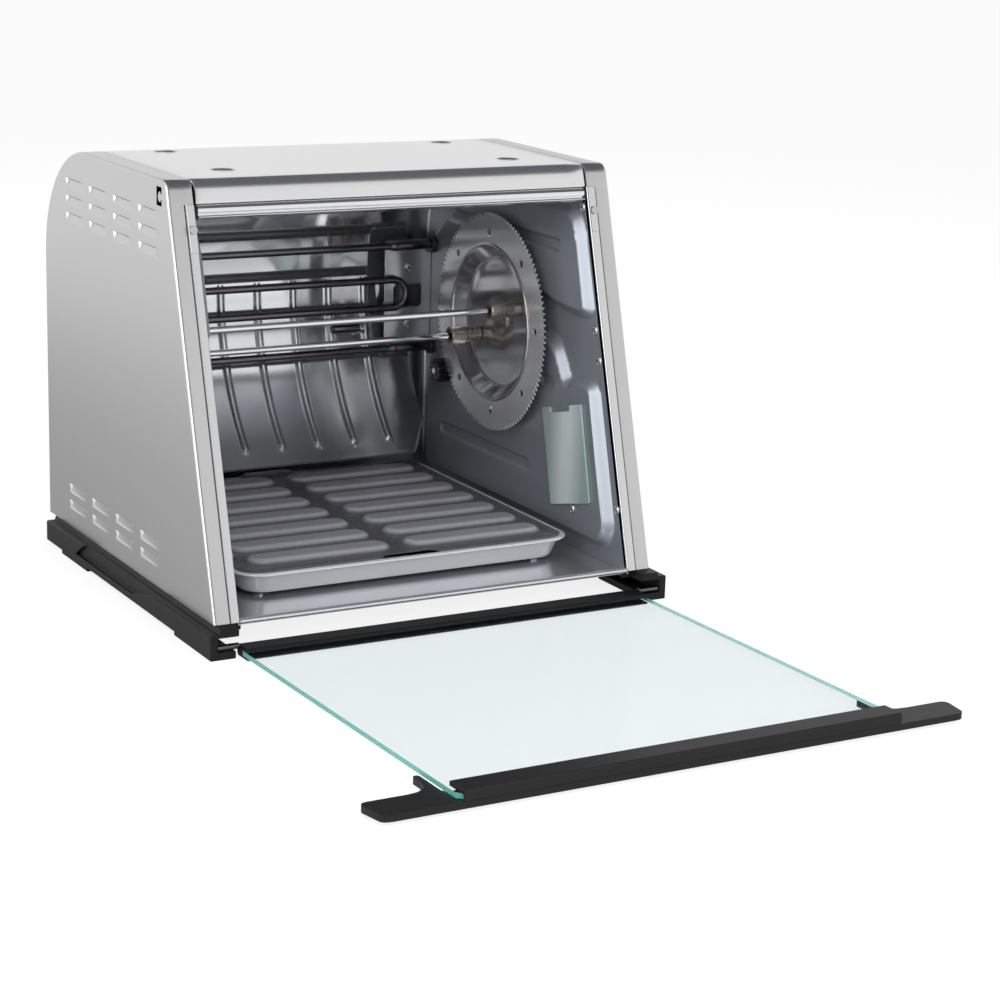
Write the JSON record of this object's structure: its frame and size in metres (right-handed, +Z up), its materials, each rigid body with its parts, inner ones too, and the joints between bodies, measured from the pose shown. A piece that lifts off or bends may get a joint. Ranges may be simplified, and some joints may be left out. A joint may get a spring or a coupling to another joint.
{
  "type": "countertop rotisserie oven",
  "caption": "Countertop rotisserie oven with a sloped front, drop-down glass door, toothed spit wheels, serpentine element, ribbed reflector and covered drip tray.",
  "frame": {"origin": "middle of the footprint of the oven with its door open, on the table", "axes": "+X to the right seen from the front, +Y to the back, +Z up"},
  "size_m": [0.488, 0.7488, 0.356],
  "materials": {
    "brushed_steel": "fine brushed, satin",
    "bright_trim": "bright drawn",
    "zinc_paint": "satin grey-blue",
    "polished_steel": "polished",
    "floor_steel": "dark polished",
    "black_plastic": "fine grain",
    "black_handle": "fine grain",
    "door_glass": "clear",
    "lamp_glass": "frosted",
    "element_steel": "heat-darkened steel",
    "wheel_steel": "plated",
    "rod_steel": "plated",
    "sleeve_steel": "turned",
    "pinion_plastic": "moulded",
    "tray_steel": "satin",
    "cover_coat": "dark non-stick coat",
    "ceramic": "unglazed ceramic",
    "bracket_steel": "plain",
    "motor_steel": "plain grey"
  },
  "bodies": {
    "housing": {"left_cover": "brushed_steel", "right_cover": "brushed_steel", "top_and_back_cover": "brushed_steel", "front_trim_bar": "bright_trim", "left_inner_wall": "zinc_paint", "right_inner_wall": "zinc_paint", "cavity_ceiling": "zinc_paint", "reflector": "polished_steel", "floor_pan": "floor_steel", "left_base_rail": "black_plastic", "right_base_rail": "black_plastic", "rear_base_rail": "black_plastic", "right_catch_plate": "brushed_steel", "left_catch_plate": "brushed_steel", "right_catch_stud": "brushed_steel", "left_catch_stud": "brushed_steel", "heating_element": "element_steel", "upper_element_terminal": "ceramic", "lower_element_terminal": "ceramic", "right_element_bracket": "bracket_steel", "left_element_bracket": "bracket_steel", "thermostat_probe": "element_steel", "lamp_window": "lamp_glass", "lamp_reflector": "polished_steel", "lamp_holder": "ceramic", "lamp_bulb": "lamp_glass", "right_wheel_seat": "bracket_steel", "left_wheel_seat": "bracket_steel", "gear_motor": "motor_steel", "timer_body": "motor_steel", "mode_switch_body": "motor_steel", "cord_gland": "black_plastic"},
    "door": {"door_glass": "door_glass", "hinge_bar": "black_plastic", "right_hinge_pin": "brushed_steel", "left_hinge_pin": "brushed_steel", "handle_top_bar": "black_handle", "handle_lower_bar": "black_handle"},
    "spit_bushes": {"right_spit_bush": "sleeve_steel", "left_spit_bush": "sleeve_steel"},
    "spit": {"right_spit_wheel": "wheel_steel", "left_spit_wheel": "wheel_steel", "front_spit_rod": "rod_steel", "rear_spit_rod": "rod_steel", "right_front_sleeve": "sleeve_steel", "left_front_sleeve": "sleeve_steel", "right_rear_sleeve": "sleeve_steel", "left_rear_sleeve": "sleeve_steel"},
    "pinion": {"drive_pinion": "pinion_plastic", "motor_shaft": "rod_steel"},
    "tray": {"drip_tray": "tray_steel"},
    "tray_cover": {"tray_cover": "cover_coat"},
    "timer_knob": {"timer_knob": "black_plastic"},
    "mode_knob": {"mode_knob": "black_plastic"}
  },
  "joints": [
    {"name": "door_hinge", "type": "hinge", "parent": "housing", "child": "door", "pos_m": [0, -0.01337, 0.009], "axis": [-1, 0, 0], "range_deg": [0, 105.31]},
    {"name": "spit_slide", "type": "slide", "parent": "housing", "child": "spit_bushes", "axis": [0, -0.9781, 0.2079], "range_m": [0, 0.06]},
    {"name": "spit_spin", "type": "hinge", "parent": "spit_bushes", "child": "spit", "pos_m": [0, 0.21113, 0.201], "axis": [1, 0, 0], "continuous": true},
    {"name": "pinion_spin", "type": "hinge", "parent": "housing", "child": "pinion", "pos_m": [0.178, 0.29777, 0.14011], "axis": [1, 0, 0], "continuous": true},
    {"name": "tray_slide", "type": "slide", "parent": "housing", "child": "tray", "axis": [0, -1, 0], "range_m": [0, 0.04]},
    {"name": "cover_lift", "type": "slide", "parent": "tray", "child": "tray_cover", "axis": [0, 0, 1], "range_m": [0, 0.01]},
    {"name": "timer_turn", "type": "hinge", "parent": "housing", "child": "timer_knob", "pos_m": [0.2, 0.14563, 0.262], "axis": [-1, 0, 0], "range_deg": [0, 300]},
    {"name": "mode_turn", "type": "hinge", "parent": "housing", "child": "mode_knob", "pos_m": [0.2, 0.14563, 0.196], "axis": [-1, 0, 0], "range_deg": [0, 120]}
  ],
  "couplings": [
    {"joint": "pinion_spin", "follows": "spit_spin", "ratio": -10}
  ]
}
